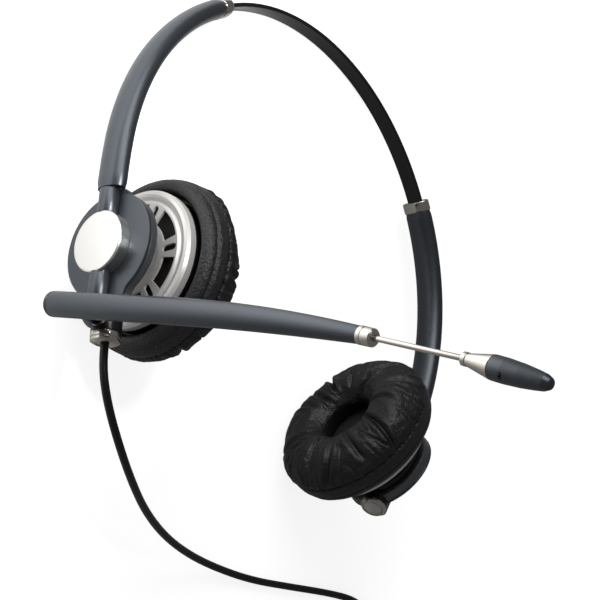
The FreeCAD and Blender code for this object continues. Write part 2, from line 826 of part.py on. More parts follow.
def make_boom():
    lift = value("boom_lift")
    outside = loft(boom_stations(0))
    neck_height = lift - value("washer_thick") - 0.1
    neck = Part.makeCylinder(value("boom_neck_radius"), neck_height, Vector(0, 0, -neck_height))
    inside = loft(boom_stations(value("boom_wall")))
    pin_low = -lift - 4.0
    pin_room = Part.makeCylinder(value("boom_pin_radius"), 20, Vector(0, 0, -value("boom_rear_radius") + 0.8 - 20))
    tube = outside.fuse(neck).cut(inside).cut(pin_room)
    add_shape("boom_tube", tube, BOOM)
    pin_top = -value("boom_rear_radius") + 0.8
    pin = Part.makeCylinder(value("boom_pin_radius"), pin_top - pin_low, Vector(0, 0, pin_low))
    add_shape("boom_pivot_pin", pin, BOOM)
    washer = Part.makeCylinder(value("boom_neck_radius") + 0.3, value("washer_thick"), Vector(0, 0, -lift + 0.1))
    washer = washer.cut(Part.makeCylinder(value("boom_pin_radius"), 4, Vector(0, 0, -lift - 1)))
    add_shape("boom_friction_washer", washer, BOOM)

    tail = value("boom_tail_cap - boom_tail")
    end_cap = turned(
        "boom_cap",
        [
            ("0", "0"),
            ("0", "boom_rear_radius"),
            (f"{0.45 * tail:.4f}", "boom_rear_radius - 0.15"),
            (f"{0.75 * tail:.4f}", "boom_rear_radius - 0.6"),
            (f"{0.95 * tail:.4f}", "boom_rear_radius - 1.6"),
            (f"{tail:.4f}", "0"),
        ],
    )
    backwards = Rotation(Vector(0, 0, 1), 180)
    add_node("boom_end_cap", end_cap, BOOM * Placement(Vector(-value("boom_tail"), 0, 0), backwards))

    last = boom_stations(0)[-1]
    front_turn = Rotation(Vector(0, 0, 1), degrees(last[3]) - value("ferrule_bend_angle"))
    front = BOOM * Placement(Vector(last[0], last[1], 0), front_turn)
    length = "boom_ferrule_length"
    ferrule = turned(
        "boom_ferrule_body",
        [
            ("running_gap + 0.05", "boom_rod_radius + 0.7"),
            ("running_gap + 0.05", "boom_ferrule_radius"),
            (f"{length} - 0.5", "boom_ferrule_radius"),
            (length, "boom_ferrule_radius - 0.5"),
            (length, "boom_rod_radius + 0.3"),
            (f"{length} - 0.9", "boom_rod_radius + 0.3"),
            (f"{length} - 0.9", "boom_rod_radius + 0.7"),
        ],
    )
    add_node("boom_ferrule", ferrule, front)
    guide = turned(
        "rod_guide_body",
        [
            ("0.1", "boom_rod_radius + running_gap"),
            ("0.1", "boom_rod_radius + 0.65"),
            (f"{length} - 1", "boom_rod_radius + 0.65"),
            (f"{length} - 1", "boom_rod_radius + running_gap"),
        ],
    )
    add_node("boom_rod_guide", guide, front)

    rod_length = "boom_rod_inside + boom_ferrule_length + boom_rod_length"
    rod = cylinder("rod_body", "boom_rod_radius", rod_length, ("0 - boom_rod_inside", "0", "0"), "x")
    wrapped = fuse(
        "rod_whole", rod,
        cylinder("rod_tail", "0.8*boom_rod_radius", "0.6", ("-0.6 - boom_rod_inside", "0", "0"), "x"),
    )
    add_node("boom_rod", wrapped, front)

    reach = value("boom_ferrule_length + boom_rod_length")
    mic = front * Placement(Vector(reach, 0, 0), Rotation(Vector(0, 0, 1), -value("mic_bend_angle")))
    cone = turned(
        "mic_cone_body",
        [
            ("0.1", "0"),
            ("0.1", "mic_cone_rear_radius"),
            ("mic_cone_length", "mic_radius"),
            ("mic_cone_length", "0"),
        ],
    )
    add_node("microphone_cone", cone, mic)
    length = "mic_cone_length + mic_length"
    shell = turned(
        "mic_shell_body",
        [
            ("mic_cone_length + 0.05", "0"),
            ("mic_cone_length + 0.05", "mic_radius"),
            ("mic_cone_length + 4", "mic_radius"),
            ("mic_cone_length + 9", "mic_radius - 0.3"),
            (f"{length} - 5.5", "mic_radius - 0.7"),
            (f"{length} - 2.6", "mic_tip_radius + 0.2"),
            (f"{length} - 1.2", "mic_tip_radius - 0.3"),
            (f"{length} - 0.3", "mic_tip_radius - 1.1"),
            (length, "mic_tip_radius - 1.7"),
            (length, "0"),
        ],
    )
    hollow = cylinder(
        "mic_hollow", "mic_radius - mic_skin", "7", ("mic_cone_length + 0.7", "0", "0"), "x",
    )
    port = cylinder("mic_port", "0.6", "6", ("mic_cone_length + 3.6", "0.9", "0"))
    port_low = cylinder("mic_port_low", "0.6", "6", ("mic_cone_length + 3.6", "-0.9", "0"))
    add_node("microphone_housing", cut("mic_shell_cut", shell, hollow, port, port_low), mic)
    capsule = cylinder("capsule", "capsule_radius", "capsule_length", ("mic_cone_length + 1.2", "0", "0"), "x")
    collar = cylinder(
        "capsule_collar", "mic_radius - mic_skin", "0.8", ("mic_cone_length + 1.2 + capsule_length", "0", "0"), "x",
    )
    add_node("microphone_capsule", fuse("capsule_whole", capsule, collar), mic)
    return front


# ---------------------------------------------------------------- cord

DOWN_POST = FRAMES["left"].Rotation.multVec(Vector(0, 0, -1))
EXIT = FRAMES["left"].multVec(
    Vector(value("0 - post_axis"), value("post_forward"), value("0.5*ring_step - left_ring_end"))
)
CORD_POINTS = [
    EXIT - DOWN_POST * 3.9,
    EXIT + DOWN_POST * 7,
    Vector(-64.5, -96.2, 41.6),
    Vector(-50.5, -104.0, 38.2),
    Vector(-33.5, -109.4, 31.2),
    Vector(-15.0, -112.8, 22.5),
    Vector(5.3, -114.0, 14.0),
    Vector(26.0, -113.0, 7.2),
    Vector(46.0, -110.4, 3.0),
    Vector(67.0, -106.5, 1.4),
    Vector(88.2, -100.3, 1.4),
    Vector(110.3, -93.6, 1.4),
    Vector(127.0, -89.6, 1.4),
    Vector(140.0, -91.0, 1.4),
    Vector(150.5, -97.5, 1.4),
    Vector(155.2, -108.5, 1.4),
    Vector(155.2, -119.0, 1.4),
]


def cord_path(points):
    """Straight runs through hand-picked points, joined by arcs tangent to both runs."""
    edges = []
    radii = []
    turns = []
    last = points[0]
    for before, here, after in zip(points, points[1:], points[2:]):
        back = (before - here).normalize()
        ahead = (after - here).normalize()
        turn = pi - back.getAngle(ahead)
        reach = 0.45 * min(here.distanceToPoint(before), here.distanceToPoint(after))
        radius = reach / tan(turn / 2)
        middle = (back + ahead).normalize()
        bulge = here + middle * (radius / cos(turn / 2) - radius)
        first = here + back * reach
        end = here + ahead * reach
        edges.append(Part.LineSegment(last, first).toShape())
        edges.append(Part.Arc(first, bulge, end).toShape())
        last = end
        radii.append(round(radius, 1))
        turns.append(round(degrees(turn)))
    edges.append(Part.LineSegment(last, points[-1]).toShape())
    print("cord arcs: radii", radii, "turns", turns)
    return Part.Wire(edges)


def make_cord():
    """The free cord, the rubber relief inside its post, its coil and the plug on its end."""
    relief = turned(
        "relief_body",
        [
            ("0", "cord_radius + cord_slack"),
            ("0", "relief_radius"),
            ("relief_length", "relief_radius"),
            ("relief_length", "cord_radius + cord_slack"),
        ],
    )
    down = Rotation(Vector(0, 1, 0), 90)
    top = Vector(value("0 - post_axis"), value("post_forward"), value("relief_length - left_ring_end + 0.55"))
    add_node("cord_strain_relief", relief, FRAMES["left"] * Placement(top, down))

    path = cord_path(CORD_POINTS)
    section = Part.Wire(Part.makeCircle(value("cord_radius"), CORD_POINTS[0], DOWN_POST))
    tube = path.makePipeShell([section], True, False)
    ratio = tube.Volume / (pi * value("cord_radius") ** 2 * path.Length)
    turns = value("coil_turns") * 2 * pi * value("coil_radius")
    print(f"cord tube {path.Length:.1f} mm, volume {ratio:.4f} of section times length, coil {turns:.0f} mm")
    add_shape("cord_tube", tube, Placement())

    inner = "coil_radius - coil_half_width"
    outer = "coil_radius + coil_half_width"
    ring = turned(
        "coil_ring",
        [
            ("cord_lift", f"{inner} + coil_round"),
            ("cord_lift", f"{outer} - coil_round"),
            ("coil_round", outer),
            ("coil_height - coil_round", outer),
            ("coil_height", f"{outer} - coil_round"),
            ("coil_height", f"{inner} + coil_round"),
            ("coil_height - coil_round", inner),
            ("coil_round", inner),
        ],
    )
    ring.Placement = Placement(Vector(value("coil_x"), value("coil_y"), 0), Rotation(Vector(0, 1, 0), -90))
    end = CORD_POINTS[-1]
    lead_in = Part.makeCylinder(value("cord_radius"), end.y - value("coil_y"), end, Vector(0, -1, 0))
    plug_at = Vector(value("plug_x"), value("coil_y - coil_radius"), value("0.5*plug_height + cord_lift"))
    lead_out = Part.makeCylinder(value("cord_radius"), value("coil_x - plug_x"), plug_at, Vector(1, 0, 0))
    leads = []
    for name, shape in (("coil_lead_in", lead_in), ("coil_lead_out", lead_out)):
        lead = doc.addObject("Part::Feature", name)
        lead.Shape = shape
        leads.append(lead)
    add_node("cord_coil", fuse("coil_whole", ring, *leads), Placement())
    return Placement(plug_at, Rotation(Vector(0, 0, 1), 180))


def make_plug(frame):
    """A flat quick-disconnect plug: X runs from its cord end to its contact end."""
    boot = turned(
        "plug_boot_body",
        [
            ("0", "0"),
            ("0", "boot_rear_radius"),
            ("boot_length", "boot_front_radius"),
            ("boot_length", "0"),
        ],
    )
    add_node("plug_boot", boot, frame)
    shell = box(
        "plug_shell", "plug_length - boot_length", "plug_width", "plug_height",
        ("boot_length", "0 - 0.5*plug_width", "0 - 0.5*plug_height"),
    )
    doc.recompute()
    long_edges = []
    for number, edge in enumerate(shell.Shape.Edges, start=1):
        along = edge.Vertexes[-1].Point - edge.Vertexes[0].Point
        if abs(along.x) > 1:
            long_edges.append((number, value("plug_round"), value("plug_round")))
    rounded = doc.addObject("Part::Fillet", "plug_rounded")
    rounded.Base = shell
    rounded.Edges = long_edges
    socket = box(
        "plug_socket", "socket_depth + 1", "socket_width", "socket_height",
        ("plug_length - socket_depth", "0 - 0.5*socket_width", "0 - 0.5*socket_height"),
    )
    add_node("plug_body", cut("plug_hollowed", rounded, socket), frame)
    base = box(
        "contact_base", "0.8", "socket_width - 1", "socket_height - 1",
        ("plug_length - socket_depth", "0.5 - 0.5*socket_width", "0.5 - 0.5*socket_height"),
    )
    blades = [
        box(
            f"contact_{i}", "socket_depth - 1.5", "0.9", "0.7",
            ("plug_length - socket_depth", f"{i}*contact_pitch - 1.5*contact_pitch - 0.45", "-0.35"),
        )
        for i in range(4)
    ]
    add_node("plug_contacts", fuse("contact_set", base, *blades), frame)


# ---------------------------------------------------------------- whole headset

for ear in SIDES:
    make_arm(ear)
    make_hub(ear)
    make_cup(ear)
make_ends()
ROD = make_boom()
make_plug(make_cord())

doc.recompute()
for thing in doc.Objects:
    if "Invalid" in thing.State or "Error" in thing.State:
        raise RuntimeError(f"{thing.Name} failed: {thing.State}")
for label, thing in nodes.items():
    if thing.Shape.isNull() or not thing.Shape.isValid() or not thing.Shape.Solids:
        raise RuntimeError(f"{label} has no valid solid")

os.makedirs("parts", exist_ok=True)
for label, thing in nodes.items():
    thing.Shape.exportStep(f"parts/{label}.step")
whole = FreeCAD.BoundBox()
for label, thing in nodes.items():
    if not label.startswith(("cord", "plug")):
        whole.add(thing.Shape.BoundBox)
print(len(nodes), "nodes; box without the cord", whole)
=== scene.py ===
"""Office headset lying on its back on a pale table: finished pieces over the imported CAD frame."""
import json
import random
from math import atan2, cos, exp, pi, radians, sin, sqrt

import bmesh
import bpy
from mathutils import Matrix, Vector, noise


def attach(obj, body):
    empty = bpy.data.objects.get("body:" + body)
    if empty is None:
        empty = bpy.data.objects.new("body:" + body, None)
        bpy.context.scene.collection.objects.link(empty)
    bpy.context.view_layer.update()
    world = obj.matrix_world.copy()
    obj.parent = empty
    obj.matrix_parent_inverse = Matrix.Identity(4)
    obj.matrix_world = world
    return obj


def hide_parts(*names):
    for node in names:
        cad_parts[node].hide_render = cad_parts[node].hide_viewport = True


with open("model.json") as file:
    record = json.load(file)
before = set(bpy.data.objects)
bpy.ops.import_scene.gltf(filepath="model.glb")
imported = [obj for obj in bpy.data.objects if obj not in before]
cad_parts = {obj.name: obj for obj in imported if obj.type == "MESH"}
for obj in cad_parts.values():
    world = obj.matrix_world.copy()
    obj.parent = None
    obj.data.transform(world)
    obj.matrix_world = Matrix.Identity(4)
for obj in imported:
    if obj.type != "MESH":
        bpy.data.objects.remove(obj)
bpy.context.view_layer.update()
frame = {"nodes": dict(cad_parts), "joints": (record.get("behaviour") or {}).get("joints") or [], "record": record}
NODES = frame["nodes"]
JOINTS = {joint["name"]: joint for joint in frame["joints"]}
MM = 0.001
SIDES = {"left": -1, "right": 1}

# Sizes in millimetres and degrees that more than one piece uses.
BALL_DEPTH = 8.6
BOOM_DROOP = 11.5
BOOM_LENGTH = 113.0
BOOM_STRAIGHT = 40.0
BOOM_BEND = radians(5.4)
BOOM_ARC = (BOOM_LENGTH - BOOM_STRAIGHT) / sin(BOOM_BEND)
ROD_REACH = 34.0
MIC_BEND = 2.9
BAND_RADIUS = 91.2
ARM_START = 47.4
ARM_BEND = 97.06
ARM_LOWER_RADIUS = 178.4

# ---------------------------------------------------------------- frames


def axes(x, y, z, origin):
    """A placement from three unit axes and an origin in metres."""
    turn = Matrix((x, y, z)).transposed().to_4x4()
    return Matrix.Translation(origin) @ turn


def hub_frame(side):
    """X out of the ear cup, Z up the arm, origin on the hub's face."""
    pitch = JOINTS[f"{side}_ball_pitch"]
    y = Vector(pitch["axis"])
    z = Vector(JOINTS[f"{side}_cup_yaw"]["axis"])
    out = y.cross(z)
    return axes(out, y, z, Vector(pitch["pos_m"]) + out * BALL_DEPTH * MM)


HUB = {side: hub_frame(side) for side in SIDES}
LIE_DOWN = (
    Matrix.Translation(JOINTS["left_arm_telescope"]["pos_m"])
    @ Matrix.Rotation(radians(-102.0), 4, "X")
    @ Matrix.Rotation(radians(-0.88), 4, "Z")
)


def boom_frame():
    """X along the boom, Z away from the cup, origin on the pivot."""
    swing = JOINTS["boom_swing"]
    z = Vector(swing["axis"])
    droop = radians(BOOM_DROOP)
    hub = HUB["left"].to_3x3()
    x = hub @ Vector((0, cos(droop), -sin(droop)))
    return axes(x, z.cross(x), z, Vector(swing["pos_m"]))


BOOM = boom_frame()


def rod_frame():
    """X along the sliding rod, origin at the front end of the boom's tube."""
    x = Vector(JOINTS["rod_slide"]["axis"])
    z = Vector(JOINTS["boom_swing"]["axis"])
    drop = BOOM_ARC * (cos(BOOM_BEND) - 1)
    return axes(x, z.cross(x), z, BOOM @ Vector((BOOM_LENGTH * MM, drop * MM, 0)))


ROD = rod_frame()
MIC = ROD @ Matrix.Translation((ROD_REACH * MM, 0, 0)) @ Matrix.Rotation(radians(-MIC_BEND), 4, "Z")

# ---------------------------------------------------------------- materials


def grain_group():
    """Roughness that varies softly, and a fine bump."""
    group = bpy.data.node_groups.new("SurfaceGrain", "ShaderNodeTree")
    for name, value in (
        ("Patch scale", 60.0), ("Grain scale", 2500.0), ("Low", 0.3), ("High", 0.4), ("Bump", 0.1),
    ):
        group.interface.new_socket(name, in_out="INPUT", socket_type="NodeSocketFloat").default_value = value
    group.interface.new_socket("Roughness", in_out="OUTPUT", socket_type="NodeSocketFloat")
    group.interface.new_socket("Normal", in_out="OUTPUT", socket_type="NodeSocketVector")
    nodes, links = group.nodes, group.links
    start = nodes.new("NodeGroupInput")
    end = nodes.new("NodeGroupOutput")
    where = nodes.new("ShaderNodeTexCoord")
    patches = nodes.new("ShaderNodeTexNoise")
    patches.inputs["Detail"].default_value = 5.0
    grain = nodes.new("ShaderNodeTexNoise")
    spread = nodes.new("ShaderNodeMapRange")
    bump = nodes.new("ShaderNodeBump")
    bump.inputs["Distance"].default_value = 0.0001
    for a, b, c, d in (
        (where, "Object", patches, "Vector"), (where, "Object", grain, "Vector"),
        (start, "Patch scale", patches, "Scale"), (start, "Grain scale", grain, "Scale"),
        (patches, "Fac", spread, "Value"), (start, "Low", spread, "To Min"), (start, "High", spread, "To Max"),
        (grain, "Fac", bump, "Height"), (start, "Bump", bump, "Strength"),
        (spread, "Result", end, "Roughness"), (bump, "Normal", end, "Normal"),
    ):
        links.new(a.outputs[b], c.inputs[d])
    return group


GRAIN = grain_group()


def plain(name, color, metallic=0.0, low=0.3, high=0.4, bump=0.1, patch=60.0, grain=2500.0, **sockets):
    """A material with varied roughness and fine grain; sockets are set on the shader itself."""
    material = bpy.data.materials.new(name)
    material.use_nodes = True
    tree = material.node_tree
    shader = tree.nodes["Principled BSDF"]
    shader.inputs["Base Color"].default_value = (*color, 1)
    shader.inputs["Metallic"].default_value = metallic
    for socket, value in sockets.items():
        shader.inputs[socket.replace("_", " ")].default_value = value
    surface = tree.nodes.new("ShaderNodeGroup")
    surface.node_tree = GRAIN
    settings = {"Low": low, "High": high, "Bump": bump, "Patch scale": patch, "Grain scale": grain}
    for socket, value in settings.items():
        surface.inputs[socket].default_value = value
    tree.links.new(surface.outputs["Roughness"], shader.inputs["Roughness"])
    tree.links.new(surface.outputs["Normal"], shader.inputs["Normal"])
    return material


def leather(name, color, cell, depth, low, high, crease=0.0):
    """Leatherette: small cells and finer wrinkles, with painted shade darkening the grain's hollows and painted
    highlight lightening its raised tops.
    """
    material = plain(name, color, low=low, high=high)
    tree = material.node_tree
    nodes, links = tree.nodes, tree.links
    shader = nodes["Principled BSDF"]
    where = nodes.new("ShaderNodeTexCoord")
    cells = nodes.new("ShaderNodeTexVoronoi")
    cells.feature = "SMOOTH_F1"
    cells.inputs["Scale"].default_value = cell
    wrinkles = nodes.new("ShaderNodeTexNoise")
    wrinkles.inputs["Scale"].default_value = cell * 0.3
    wrinkles.inputs["Detail"].default_value = 8.0
    wrinkles.inputs["Distortion"].default_value = 1.2
    both = nodes.new("ShaderNodeMath")
    both.operation = "MULTIPLY_ADD"
    both.inputs[1].default_value = crease
    bump = nodes.new("ShaderNodeBump")
    bump.inputs["Distance"].default_value = 0.00025
    bump.inputs["Strength"].default_value = depth
    # Painted shade and highlight: the colour follows the cells' height, darker in the hollows and paler on the
    # raised tops.
    tint = nodes.new("ShaderNodeValToRGB")
    tint.color_ramp.elements[0].color = (*[c * 0.6 for c in color], 1)
    tint.color_ramp.elements[1].color = (*[c * 1.7 for c in color], 1)
    for a, b, c, d in (
        (where, "Object", cells, "Vector"), (where, "Object", wrinkles, "Vector"),
        (wrinkles, "Fac", both, 0), (cells, "Distance", both, 2), (both, "Value", bump, "Height"),
        (cells, "Distance", tint, "Fac"), (tint, "Color", shader, "Base Color"), (bump, "Normal", shader, "Normal"),
    ):
        links.new(a.outputs[b], c.inputs[d])
    return material


def woven(name, color, scale, turn):
    """Fine mesh cloth: two crossing sets of threads in the plane given by turn."""
    material = plain(name, color, low=0.6, high=0.8)
    tree = material.node_tree
    nodes, links = tree.nodes, tree.links
    where = nodes.new("ShaderNodeTexCoord")
    mapping = nodes.new("ShaderNodeMapping")
    mapping.inputs["Rotation"].default_value = turn
    links.new(where.outputs["Object"], mapping.inputs["Vector"])
    threads = []
    for direction in ("Y", "Z"):
        wave = nodes.new("ShaderNodeTexWave")
        wave.bands_direction = direction
        wave.inputs["Scale"].default_value = scale
        links.new(mapping.outputs["Vector"], wave.inputs["Vector"])
        threads.append(wave)
    weave = nodes.new("ShaderNodeMath")
    weave.operation = "MAXIMUM"
    tint = nodes.new("ShaderNodeValToRGB")
    tint.color_ramp.elements[0].color = (0.001, 0.001, 0.001, 1)
    tint.color_ramp.elements[1].color = (*color, 1)
    bump = nodes.new("ShaderNodeBump")
    bump.inputs["Distance"].default_value = 0.0002
    shader = nodes["Principled BSDF"]
    for i, wave in enumerate(threads):
        links.new(wave.outputs["Fac"], weave.inputs[i])
    links.new(weave.outputs["Value"], tint.inputs["Fac"])
    links.new(weave.outputs["Value"], bump.inputs["Height"])
    links.new(tint.outputs["Color"], shader.inputs["Base Color"])
    links.new(bump.outputs["Normal"], shader.inputs["Normal"])
    return material


GRAPHITE = plain("graphite", (0.085, 0.094, 0.106), 0.85, 0.32, 0.38, 0.2, grain=5000.0)
RIM_GREY = plain("rim_grey", (0.15, 0.157, 0.17), 0.85, 0.34, 0.42, 0.2, grain=5000.0)
BAND = plain("band_black", (0.004, 0.004, 0.005), 0.0, 0.14, 0.22, 0.02, Specular_IOR_Level=0.45)
NICKEL = plain("nickel", (0.56, 0.52, 0.47), 1.0, 0.17, 0.24, 0.02)
CAP = plain("cap_nickel", (0.80, 0.785, 0.755), 1.0, 0.27, 0.35, 0.06, grain=6000.0)
SILVER = plain("speaker_silver", (0.72, 0.7, 0.68), 0.4, 0.36, 0.46, 0.1, grain=6000.0)
BLACK = plain("black_plastic", (0.005, 0.005, 0.006), 0.0, 0.22, 0.34, 0.06, Specular_IOR_Level=0.4)
PALE = plain("pale_plastic", (0.6, 0.6, 0.57), 0.0, 0.4, 0.5, 0.05)
DARK = plain("dark_fittings", (0.007, 0.006, 0.0055), 0.0, 0.5, 0.65, 0.2)
CORD = plain("cord_black", (0.004, 0.004, 0.005), 0.0, 0.3, 0.4, 0.08, Specular_IOR_Level=0.4)
# Near-black with little specular: painted shade standing for the dark inside of the microphone's slot.
HOLE_SHADE = plain("painted_hole_shade", (0.001, 0.001, 0.001), 0.0, 0.8, 0.9, 0.0, Specular_IOR_Level=0.1)
THREAD = plain("thread", (0.02, 0.02, 0.021), 0.0, 0.55, 0.7, 0.1)
BRASS = plain("plated_brass", (0.75, 0.58, 0.27), 1.0, 0.2, 0.3, 0.05)
LEATHERETTE = leather("leatherette", (0.0055, 0.0055, 0.006), 1500.0, 0.7, 0.38, 0.5, 0.9)
BASE_LEATHER = leather("base_leatherette", (0.012, 0.012, 0.013), 1300.0, 1.0, 0.42, 0.55, 0.3)

# ---------------------------------------------------------------- mesh helpers


def finish_mesh(bm, name, material, body, replaced, sharp=None):
    """Turns a bmesh in row metres into a piece that rides on a body."""
    bmesh.ops.remove_doubles(bm, verts=bm.verts, dist=1e-7)
    bmesh.ops.recalc_face_normals(bm, faces=bm.faces)
    mesh = bpy.data.meshes.new(name)
    bm.to_mesh(mesh)
    bm.free()
    thing = bpy.data.objects.new(name, mesh)
    bpy.context.scene.collection.objects.link(thing)
    mesh.materials.append(material)
    mesh.shade_smooth()
    if sharp:
        mesh.set_sharp_from_angle(angle=radians(sharp))
    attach(thing, body)
    if replaced:
        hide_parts(*replaced)
    return thing


def skin(rings, place, close_rings=False, cap_ends=False):
    """Quads between rows of points in millimetres; each row is a closed loop."""
    bm = bmesh.new()
    rows = [[bm.verts.new(place @ (Vector(p) * MM)) for p in ring] for ring in rings]
    pairs = list(zip(rows, rows[1:]))
    if close_rings:
        pairs.append((rows[-1], rows[0]))
    for low, high in pairs:
        count = len(low)
        for i in range(count):
            j = (i + 1) % count
            bm.faces.new((low[i], low[j], high[j], high[i]))
    if cap_ends:
        bm.faces.new(rows[0])
        bm.faces.new(rows[-1])
    return bm


def rounded(corners, steps=5):
    """Corners (x, y, radius) of an outline, each replaced by its fillet arc."""
    points = []
    count = len(corners)
    for i, (x, y, radius) in enumerate(corners):
        here = Vector((x, y))
        if not radius:
            points.append(here)
            continue
        back = (Vector(corners[i - 1][:2]) - here).normalized()
        ahead = (Vector(corners[(i + 1) % count][:2]) - here).normalized()
        half = back.angle(ahead) / 2
        reach = radius / sin(half) * cos(half)
        centre = here + (back + ahead).normalized() * (radius / sin(half))
        first = here + back * reach - centre
        last = here + ahead * reach - centre
        for step in range(steps + 1):
            share = step / steps
            swing = first.lerp(last, share)
            points.append(centre + swing.normalized() * radius)
    return points


def lathe(name, corners, place, material, body, replaced=(), segments=96, sharp=50):
    """A closed outline (along X, radius, fillet) turned about X."""
    outline = rounded(corners)
    rings = []
    for i in range(segments):
        turn = 2 * pi * i / segments
        rings.append([(p.x, p.y * cos(turn), p.y * sin(turn)) for p in outline])
    return finish_mesh(skin(rings, place, close_rings=True), name, material, body, replaced, sharp)


def oval(half_width, half_thick, count=40):
    return [(half_width * cos(2 * pi * i / count), half_thick * sin(2 * pi * i / count)) for i in range(count)]


# ---------------------------------------------------------------- camera


def make_camera():
    lens = bpy.data.cameras.new("camera")
    lens.lens = 99.07
    lens.sensor_width = 36.0
    lens.clip_start = 0.01
    lens.clip_end = 20
    camera = bpy.data.objects.new("camera", lens)
    bpy.context.scene.collection.objects.link(camera)
    right = Vector((0.567908, 0.363519, 0.738468))
    up = Vector((-0.50163, 0.864174, -0.039628))
    back = Vector((-0.652571, -0.347932, 0.673123))
    camera.matrix_world = axes(right, up, back, Vector((-0.379408, -0.224520, 0.427550)))
    bpy.context.scene.camera = camera


make_camera()

# ---------------------------------------------------------------- cord

CORD_D = 0.0027
EXIT = HUB["left"] @ (Vector((-2.3, 1.4, -32.0)) * MM)
DOWN_POST = HUB["left"].to_3x3() @ Vector((0, 0, -1))
ROUTE = [
    EXIT,
    EXIT + DOWN_POST * 0.007,
    Vector((-0.0645, -0.0962, 0.0416)),
    Vector((-0.0505, -0.1040, 0.0382)),
    Vector((-0.0335, -0.1094, 0.0312)),
    Vector((-0.0150, -0.1128, 0.0225)),
    Vector((0.0053, -0.1140, 0.0140)),
    Vector((0.0260, -0.1130, 0.0072)),
    Vector((0.0460, -0.1104, 0.0030)),
    Vector((0.0670, -0.1065, 0.0014)),
    Vector((0.0882, -0.1003, 0.0014)),
    Vector((0.1103, -0.0936, 0.0014)),
    Vector((0.1270, -0.0896, 0.0014)),
    Vector((0.1400, -0.0910, 0.0014)),
    Vector((0.1505, -0.0975, 0.0014)),
    Vector((0.1552, -0.1085, 0.0014)),
    Vector((0.1552, -0.1190, 0.0014)),
]
COIL = Vector((0.140, -0.132, 0))


def coil_points():
    """Turns beside and on each other: bottom, middle and top layer, then out towards the plug."""
    places = [(15.2, 1.4), (17.9, 1.4), (12.5, 1.4), (13.9, 3.75), (16.6, 3.75), (15.2, 6.1)]
    points = []
    per_turn = 16
    total = int(6.25 * per_turn)
    for i in range(1, total):
        turn = i / per_turn
        layer = min(int(turn), 5)
        share = min(1.0, max(0.0, (turn - layer - 0.75) / 0.25))
        radius, height = places[layer]
        if layer < 5:
            radius += (places[layer + 1][0] - radius) * share
            height += (places[layer + 1][1] - height) * share
        if turn > 6:
            share = (turn - 6) / 0.25
            height += (4.35 - height) * share
        angle = -2 * pi * turn
        points.append(COIL + Vector((radius * cos(angle), radius * sin(angle), height)) * MM)
    return points


def make_cord():
    points = ROUTE + coil_points()
    points += [Vector((x, -0.1472, 0.00435)) for x in (0.1375, 0.129, 0.1222)]
    curve = bpy.data.curves.new("headset_cord", "CURVE")
    curve.dimensions = "3D"
    curve.bevel_depth = CORD_D / 2
    curve.bevel_resolution = 6
    curve.resolution_u = 8
    curve.use_fill_caps = True
    spline = curve.splines.new("NURBS")
    spline.points.add(len(points) - 1)
    for slot, point in zip(spline.points, points):
        slot.co = (*point, 1)
    spline.order_u = 3
    spline.use_endpoint_u = True
    thing = bpy.data.objects.new("headset_cord", curve)
    bpy.context.scene.collection.objects.link(thing)
    curve.materials.append(CORD)
    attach(thing, "left_hub")
    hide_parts("cord_tube", "cord_coil")


make_cord()

# ---------------------------------------------------------------- headband and arms


def arc_place(radius, angle, side, y=0.0, centre=(0.0, 0.0)):
    """A point of the headset frame at an angle from the crown, towards one side."""
    return (side * (centre[0] + radius * sin(angle)), y, centre[1] + radius * cos(angle))


def make_band():
    section = rounded([(3.2, 0.8, 0.45), (-3.2, 0.8, 0.45), (-3.2, -0.8, 0.35), (3.2, -0.8, 0.35)], 4)
    rings = []
    for i in range(121):
        angle = radians(-75.5 + 151.0 * i / 120)
        rings.append([arc_place(BAND_RADIUS + p.y, angle, 1, p.x) for p in section])
    finish_mesh(
        skin(rings, LIE_DOWN, cap_ends=True), "headband_strip", BAND, "headband",
        ["headband_cover"], 40,
    )


LOWER_REACH = BAND_RADIUS - ARM_LOWER_RADIUS
LOWER_BEND = radians(ARM_BEND)
LOWER_CENTRE = (LOWER_REACH * sin(LOWER_BEND), LOWER_REACH * cos(LOWER_BEND))


def make_arm(side):
    sign = SIDES[side]
    rings = []
    for i in range(50):
        angle = radians(ARM_START + (ARM_BEND - ARM_START) * i / 49)
        inwards = min(1.0, i / 2)
        grow = -0.3 * (1 - sqrt(1 - (1 - inwards) ** 2)) if inwards < 1 else 0.0
        rings.append([arc_place(BAND_RADIUS + t, angle, sign, w) for w, t in oval(5.65 + grow, 3.6 + grow)])
    for i in range(1, 9):
        angle = radians(ARM_BEND + 5.78 * i / 8)
        grow = -0.35 if i == 8 else 0.0
        section = oval(5.65 + grow, 3.6 + grow)
        rings.append([arc_place(ARM_LOWER_RADIUS + t, angle, sign, w, LOWER_CENTRE) for w, t in section])
    finish_mesh(
        skin(rings, LIE_DOWN, cap_ends=True), f"{side}_arm_shell", GRAPHITE, f"{side}_arm",
        [f"{side}_arm_tube"], 50,
    )
    rings = []
    for share, grow in ((0, -1.6), (0.02, -0.35), (0.1, -0.05), (0.2, 0.0), (0.86, 0.0), (0.95, -0.1), (1.0, -0.35)):
        angle = radians(44.6 + 2.8 * share)
        rings.append([arc_place(BAND_RADIUS + t, angle, sign, w) for w, t in oval(5.8 + grow, 3.75 + grow)])
    finish_mesh(
        skin(rings, LIE_DOWN, cap_ends=True), f"{side}_ferrule_shell", NICKEL, f"{side}_arm",
        [f"{side}_arm_ferrule"], 50,
    )


# ---------------------------------------------------------------- hubs

LOBES = {"left": (9.2, 18.5), "right": (4.9, 13.8)}


